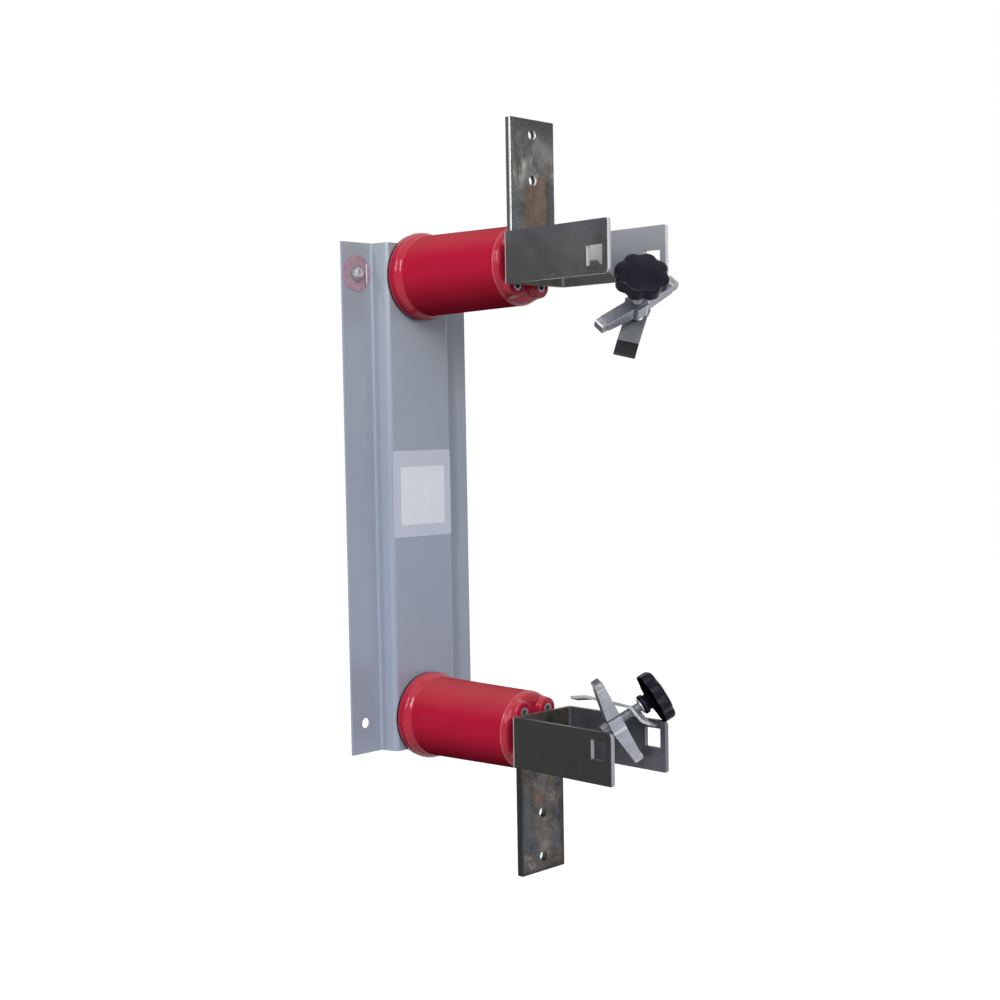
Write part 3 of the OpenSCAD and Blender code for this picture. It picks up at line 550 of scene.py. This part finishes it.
def round_edges(obj, width, segments=3, angle=25):
    """Bevel the edges that are sharper than an angle in degrees, by a width in mm."""
    bevel = obj.modifiers.new("edges", "BEVEL")
    bevel.limit_method = "ANGLE"
    bevel.angle_limit = math.radians(angle)
    bevel.width = width * MM
    bevel.segments = segments
    bevel.harden_normals = True


# Edges of the flat CAD nodes are rounded by modifiers, and their meshes stay as they are.
EDGE = {"base_channel": 0.5, "terminal_pad": 0.35, "bracket": 0.4}

for name, obj in nodes.items():
    part = part_of(name)
    look = LOOKS.get(part, LOOKS["zinc"])
    for slot in obj.material_slots:
        slot.material = look
    if not obj.material_slots:
        obj.data.materials.append(look)
    if part in EDGE:
        weld = obj.modifiers.new("weld", "WELD")
        weld.merge_threshold = 1e-5
        flat = obj.modifiers.new("flat", "DECIMATE")
        flat.decimate_type = "DISSOLVE"
        flat.angle_limit = math.radians(0.5)
        round_edges(obj, EDGE[part], angle=32)


# Pieces built here

def piece(name, verts, faces, mat, body, at=Matrix()):
    """A smooth-shaded object that rides on a body."""
    mesh = bpy.data.meshes.new(name)
    mesh.from_pydata(verts, [], faces)
    mesh.validate()
    mesh.polygons.foreach_set("use_smooth", [True] * len(mesh.polygons))
    obj = bpy.data.objects.new(name, mesh)
    bpy.context.collection.objects.link(obj)
    obj.data.materials.append(mat)
    obj.matrix_world = at
    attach(obj, body)
    return obj


def rings(rows):
    """Verts and faces of a capped tube through rows of points that all have the same count."""
    count = len(rows[0])
    verts = [p for row in rows for p in row]
    faces = []
    for i in range(len(rows) - 1):
        for j in range(count):
            a, b = i * count + j, i * count + (j + 1) % count
            faces.append((a, b, b + count, a + count))
    last = (len(rows) - 1) * count
    faces.append(tuple(reversed(range(count))))
    faces.append(tuple(range(last, last + count)))
    return verts, faces


def smoothstep(low, high, x):
    """0 below low and 1 above high, with a smooth way between."""
    t = min(1, max(0, (x - low) / (high - low)))
    return t * t * (3 - 2 * t)


def arc(cx, cz, r, start, end, steps):
    """Points of an arc in a turned profile, from one angle to another, in degrees."""
    out = []
    for i in range(steps + 1):
        a = math.radians(start + (end - start) * i / steps)
        out.append((cx + r * math.cos(a), cz + r * math.sin(a)))
    return out


def knob_mesh():
    """Lobed knob on a flanged hub that starts just above z = 0, with a low dome on top."""
    lobes, r_out, dip = 8, 25.9, 2.7
    profile = [(4.9, 0.9), (5.3, 0.3), (9.0, 0.3), (9.6, 0.9), (9.6, 4.4), (9.2, 5.0), (7.9, 5.3),
               (7.8, 5.8), (7.8, 9.6)]
    profile += arc(9.4, 9.6, 1.6, 180, 90, 5)
    profile += [(14.0, 11.2), (20.0, 11.2)]
    profile += arc(24.3, 12.8, 1.6, -90, 0, 5)
    profile += [(25.9, 15.5), (25.9, 19.6)]
    profile += arc(21.9, 19.9, 4.0, 0, 74, 9)
    profile += [(19.5, 24.22), (16.0, 24.86), (12.0, 25.36), (8.0, 25.68), (4.0, 25.84),
                (0.4, 25.88)]
    count = 24 * lobes
    rows = []
    for r, z in profile:
        weight = smoothstep(11, 20, r)
        row = []
        for j in range(count):
            a = 2 * math.pi * j / count
            low = ((1 - math.cos(lobes * a)) / 2) ** 1.5
            rr = r - dip * low * weight * r / r_out
            row.append((rr * math.cos(a) * MM, rr * math.sin(a) * MM, z * MM))
        rows.append(row)
    return rings(rows)


def stud_mesh():
    """Threaded stud from its chamfered tip at z = -length into the knob, with a real helix."""
    length, inside, pitch, r, depth = 45.6, 6.0, 1.5875, 4.72, 0.62
    per, count = 8, 32
    rows = []
    steps = int((length + inside) / pitch * per)
    for i in range(steps + 1):
        z = -length + i * pitch / per
        top = r - 1.1 * (1 - smoothstep(0, 1.4, z + length))
        row = []
        for j in range(count):
            a = 2 * math.pi * j / count
            t = (z / pitch - j / count) % 1.0
            tri = abs(2 * t - 1)
            rr = min(top, r - depth * min(1, max(0, 1.35 * tri - 0.15)))
            row.append((rr * math.cos(a) * MM, rr * math.sin(a) * MM, z * MM))
        rows.append(row)
    return rings(rows)


def prism(outline, low, high, at=lambda a, b, c: (a, b, c)):
    """A closed solid between two copies of an outline, in mm, given in metres."""
    count = len(outline)
    verts = [tuple(v * MM for v in at(a, b, h)) for h in (low, high) for a, b in outline]
    faces = [tuple(reversed(range(count))), tuple(range(count, 2 * count))]
    faces += [(i, (i + 1) % count, (i + 1) % count + count, i + count) for i in range(count)]
    return verts, faces


def joined(*solids):
    """Verts and faces of several solids as those of one mesh."""
    verts, faces = [], []
    for v, f in solids:
        faces += [tuple(i + len(verts) for i in face) for face in f]
        verts += v
    return verts, faces


def side_up(a, b, h):
    """For prism: the outline in x and z, the thickness along y."""
    return (a, -h, b)


def bar_mesh():
    """Cast bar: tapered arms, a boss with sloped shoulders, and a rough lug at each end."""
    back, end_back = -7.2, -1.8
    arms = prism([(-40.2, end_back - 0.6), (-7, back), (7, back), (40.2, end_back - 0.6),
                  (40.2, BAR_FRONT), (-40.2, BAR_FRONT)], -6.35, 6.35, side_up)
    boss = prism([(-7.4, -5.6), (-6.6, -9.8), (6.2, -9.8), (7.6, -5.6), (7.6, 5.6), (6.2, 9.8),
                  (-6.6, 9.8), (-7.4, 5.6)], -7.2, 7.0)
    solids = [arms, boss]
    for s in (-1, 1):
        lip = 8.1 if s > 0 else 7.3
        outline = [(39 * s, end_back), (46.6 * s, end_back), (47.6 * s, end_back + 1),
                   (47.6 * s, lip - 1.4), (46.2 * s, lip), (41.1 * s, lip),
                   (39.6 * s, BAR_FRONT), (39 * s, BAR_FRONT)]
        solids.append(prism(outline if s > 0 else outline[::-1], -5.7, 5.7, side_up))
    return joined(*solids)


def curve_through(points, radii, steps=8):
    """A polyline with its inner corners rounded by about the radii, as points in a plane."""
    out = [Vector(points[0])]
    for before, here, after, r in zip(points, points[1:], points[2:], radii):
        a, b, c = Vector(before), Vector(here), Vector(after)
        u, v = (a - b).normalized(), (c - b).normalized()
        half = u.angle(v) / 2
        reach = r / math.tan(half)
        start, end = b + u * reach, b + v * reach
        for i in range(steps + 1):
            t = i / steps
            out.append(start * (1 - t) ** 2 + b * 2 * t * (1 - t) + end * t ** 2)
    out.append(Vector(points[-1]))
    return out


def strap_mesh(reach):
    """Bent strip with a slot, as a flat sheet that a modifier makes thick."""
    shank, tail, tail_slope = 46, 16.4, math.radians(15)
    half, slot, slot_end = 10.3, 6.5, 8

    def way(length, down):
        return Vector((math.cos(math.radians(down)), -math.sin(math.radians(down)))) * length

    shank_end = Vector((-shank, 0))
    first = shank_end + Vector((-math.cos(tail_slope), -math.sin(tail_slope))) * tail
    hook = way(18, 36)
    path = curve_through([first, shank_end, Vector((0, 0)), hook, hook + way(9, 6)], (9, 12, 10))
    dense = []
    for a, b in zip(path, path[1:]):
        cut = max(1, round((b - a).length / 0.8))
        dense += [a.lerp(b, i / cut) for i in range(cut)]
    dense.append(path[-1])

    def inner(x):
        """Half the slot's width at x, with round ends."""
        near = min(max(x, slot - reach), slot_end - slot)
        gap = slot ** 2 - (x - near) ** 2
        return math.sqrt(gap) if gap > 0 else 0.0

    verts, faces = [], []
    for p in dense:
        w = max(0.25, inner(p.x))
        verts += [(p.x * MM, y * MM, p.y * MM) for y in (-half, -w, w, half)]
    for i in range(len(dense) - 1):
        open_here = inner(dense[i].x) > 0 and inner(dense[i + 1].x) > 0
        for j in range(3):
            if j == 1 and open_here:
                continue
            a = i * 4 + j
            faces.append((a, a + 4, a + 5, a + 1))
    return verts, faces


def insulator_mesh(centre_z):
    """Moulded standoff: a rounded foot, a tapered body with a parting line, and front bosses."""
    base_y, top, shoulder, insert_floor = -22.2, 157.7, 145.6, 148.0
    body_r, shoulder_r, shoulder_h = 39.4, 9, 6.9
    boss_x, boss_z, boss_low, boss_high, insert_r = 17.5, 21, 12.7, 10.5, 4.6
    profile = [(30.0, 0.0), (44.2, 0.0), (44.7, 0.5), (44.9, 3.2), (45.2, 3.9), (45.6, 5.6),
               (45.85, 7.6)]
    profile += arc(31.9, 9.0, 14.0, 2, 44, 10)
    profile += [(41.85, 19.4), (41.74, 20.4), (41.69, 21.4), (41.66, 23.0), (41.2, 50), (40.6, 85),
                (40.0, 120), (39.66, 143.2), (39.65, 143.8), (39.66, 144.2), (39.85, 144.5),
                (39.9, 144.9), (39.72, 145.3), (body_r, shoulder)]
    count = 240

    def height(x, z, r):
        """Height of the front over the base: the rounded shoulder, the bosses and the inserts."""
        t = min(1, (body_r - r) / shoulder_r)
        h = shoulder + shoulder_h * math.sqrt(max(0, 1 - (1 - t) ** 2))
        for bx in (-boss_x, boss_x):
            for bz in (-boss_z, boss_z):
                d = math.hypot(x - bx, z - bz)
                w = 1 - smoothstep(boss_high, boss_low, d)
                h = h * (1 - w) + top * w
                if d < insert_r:
                    return insert_floor
        return h

    turns = [2 * math.pi * j / count for j in range(count)]
    rows = []
    for r, h in profile:
        rows.append([(r * math.cos(a) * MM, (base_y - h) * MM,
                      (centre_z + r * math.sin(a)) * MM) for a in turns])
    r = 39.15
    while r > 0.5:
        row = []
        for a in turns:
            x, z = r * math.cos(a), r * math.sin(a)
            row.append((x * MM, (base_y - height(x, z, r)) * MM, (centre_z + z) * MM))
        rows.append(row)
        r -= 0.45 if r > 12 else 1.5
    return rings(rows)


def hex_head(flats, height, at_y, x, z, turn):
    """Hexagon head with its rim chamfered to a round, dished top, standing out along -y."""
    count = 96
    rows = []
    for h, cap in ((0, 9), (0.25, 9), (height - 0.9, 9), (height - 0.45, 0.565), (height, 0.50),
                   (height, 0.36), (height - 0.2, 0.30), (height - 0.2, 0.02)):
        row = []
        for j in range(count):
            a = 2 * math.pi * j / count
            edge = flats / 2 / math.cos((a + math.pi / 6) % (math.pi / 3) - math.pi / 6)
            r = min(edge, cap * flats)
            b = a + math.radians(turn)
            row.append(((x + r * math.cos(b)) * MM, (at_y - h) * MM, (z + r * math.sin(b)) * MM))
        rows.append(row)
    return rings(rows)


def bend_outline(s):
    """Outline of a strip that sharpens a bracket's outer bend, at its left (s = -1) or right."""
    out_x, out_y, r = 42.87, -186.63, 1.47
    outline = [(out_x * s, -200.0), (out_x * s, out_y - r)]
    outline += [(s * (out_x - r + r * math.cos(a)), out_y - r + r * math.sin(a))
                for a in (0.4, 0.8, 1.2)]
    outline += [((out_x - r) * s, out_y), (30.0 * s, out_y), (30.0 * s, -188.0),
                (36.0 * s, -188.9), (39.4 * s, -190.8), (41.6 * s, -194.0), (41.8 * s, -200.0)]
    return outline if s > 0 else outline[::-1]


def stand_in(name, shape, mat, body, node, at=Matrix()):
    """A piece that is shown in place of a CAD node."""
    obj = piece(name, *shape, mat, body, at)
    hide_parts(node)
    return obj


head = stand_in("ground_hex_screw", hex_head(9.4, 3.4, -5.86, -69.85, 234.95, 12),
                LOOKS["ground_screw"], "mount", "ground_screw")
round_edges(head, 0.12, 1, 40)

# Half the brackets' height, and the straps' thickness
BEND_HALF, STRAP_T = 24.95, 3
for side, sign in zip(SIDES, (1, -1)):
    middle = sign * BRACKET_Z
    strips = [prism(bend_outline(s), middle - BEND_HALF, middle + BEND_HALF) for s in (-1, 1)]
    bend = piece(side + "_bracket_bends", *joined(*strips), LOOKS["bracket"], "mount")
    round_edges(bend, 0.3, 2, 60)
    stand_in(side + "_standoff", insulator_mesh(sign * INSULATOR_Z), LOOKS["insulator"],
             "mount", side + "_insulator")
    bar = stand_in(side + "_cast_bar", bar_mesh(), LOOKS["clamp_bar"],
                   "mount", side + "_clamp_bar", placed(*CLAMP[side]))
    round_edges(bar, 0.9)
    steel = LOOKS["pressure_strap"] if side == "upper" else PALE_STRAP
    strap = stand_in(side + "_bent_strap", strap_mesh(SLOT_REACH[side]), steel,
                     "mount", side + "_pressure_strap", placed(*STRAP[side]))
    thick = strap.modifiers.new("thick", "SOLIDIFY")
    thick.thickness = STRAP_T * MM
    thick.offset = 0
    round_edges(strap, 0.5, 2, 50)
    stand_in(side + "_star_knob", knob_mesh(), LOOKS["knob"],
             side + "_knob", side + "_clamp_knob", at_hub(side))
    stand_in(side + "_threaded_stud", stud_mesh(), LOOKS["zinc"],
             side + "_knob", side + "_clamp_screw", at_hub(side))


# Floor, light and camera

SOFT_LIGHT, FLOOR_GLOW = 0.33, 0.87
FLOOR_Z, FLOOR_HALF = -0.62, 6
LAMP_AIM = (0, -0.1, 0)


def lamp(name, place, size, watts):
    """A rectangular lamp that points at the part."""
    data = bpy.data.lights.new(name, "AREA")
    data.shape = "RECTANGLE"
    data.size, data.size_y = size
    data.energy = watts
    obj = bpy.data.objects.new(name, data)
    bpy.context.collection.objects.link(obj)
    obj.location = place
    obj.rotation_euler = (Vector(LAMP_AIM) - Vector(place)).to_track_quat("-Z", "Y").to_euler()


def white_for_camera(tree, light_socket, white_socket, out):
    """Show one shader to camera, glossy and transmission rays, and light with the other."""
    path = tree.nodes.new("ShaderNodeLightPath")
    seen = path.outputs["Is Camera Ray"]
    for ray in ("Is Glossy Ray", "Is Transmission Ray"):
        most = tree.nodes.new("ShaderNodeMath")
        most.operation = "MAXIMUM"
        tree.links.new(seen, most.inputs[0])
        tree.links.new(path.outputs[ray], most.inputs[1])
        seen = most.outputs[0]
    mix = tree.nodes.new("ShaderNodeMixShader")
    tree.links.new(seen, mix.inputs[0])
    tree.links.new(light_socket, mix.inputs[1])
    tree.links.new(white_socket, mix.inputs[2])
    tree.links.new(mix.outputs[0], out)


world = bpy.data.worlds.new("studio")
bpy.context.scene.world = world
world.use_nodes = True
tree = world.node_tree
soft = tree.nodes["Background"]
soft.inputs["Color"].default_value = (0.95, 0.97, 1.0, 1)
soft.inputs["Strength"].default_value = SOFT_LIGHT
white = tree.nodes.new("ShaderNodeBackground")
white.inputs["Color"].default_value = (1, 1, 1, 1)
white.inputs["Strength"].default_value = 1.0
white_for_camera(tree, soft.outputs[0], white.outputs[0],
                 tree.nodes["World Output"].inputs["Surface"])

mesh = bpy.data.meshes.new("floor")
corners = [(x * FLOOR_HALF, y * FLOOR_HALF, FLOOR_Z)
           for x, y in ((-1, -1), (1, -1), (1, 1), (-1, 1))]
mesh.from_pydata(corners, [], [(0, 1, 2, 3)])
floor = bpy.data.objects.new("floor", mesh)
bpy.context.collection.objects.link(floor)
mat = bpy.data.materials.new("floor")
mat.use_nodes = True
tree = mat.node_tree
plain = tree.nodes["Principled BSDF"]
plain.inputs["Base Color"].default_value = (0.40, 0.40, 0.41, 1)
plain.inputs["Roughness"].default_value = 0.9
glow = tree.nodes.new("ShaderNodeEmission")
glow.inputs["Strength"].default_value = FLOOR_GLOW
lifted = tree.nodes.new("ShaderNodeAddShader")
tree.links.new(plain.outputs[0], lifted.inputs[0])
tree.links.new(glow.outputs[0], lifted.inputs[1])
white_for_camera(tree, plain.outputs[0], lifted.outputs[0],
                 tree.nodes["Material Output"].inputs["Surface"])
floor.data.materials.append(mat)

lamp("side", (-2.45, 0.38, 1.35), (0.2, 1.2), 17)
lamp("key", (-2.14, -1.40, 1.35), (0.3, 1.2), 34)
lamp("front", (-0.9, -2.6, 1.0), (1.4, 1.4), 29)

yaw, pitch, roll = (math.radians(v) for v in (CAM_YAW, CAM_PITCH, CAM_ROLL))
back = Vector((-math.sin(yaw) * math.cos(pitch), -math.cos(yaw) * math.cos(pitch),
               math.sin(pitch)))
right = (-back).cross(Vector((0, 0, 1))).normalized()
up = right.cross(-back)
cam_x = math.cos(roll) * right + math.sin(roll) * up
cam_y = -math.sin(roll) * right + math.cos(roll) * up
camera = bpy.data.objects.new("camera", bpy.data.cameras.new("camera"))
bpy.context.collection.objects.link(camera)
rot = Matrix((cam_x, cam_y, back)).transposed().to_4x4()
camera.matrix_world = Matrix.Translation(CAM_POS) @ rot
camera.data.sensor_width = SENSOR_MM
camera.data.lens = FOCAL_PX * SENSOR_MM / PHOTO_PX
camera.data.shift_x = (PHOTO_PX / 2 - CENTRE_X) / PHOTO_PX
camera.data.shift_y = (CENTRE_Y - PHOTO_PX / 2) / PHOTO_PX
bpy.context.scene.camera = camera
bpy.context.scene.view_settings.view_transform = "Standard"
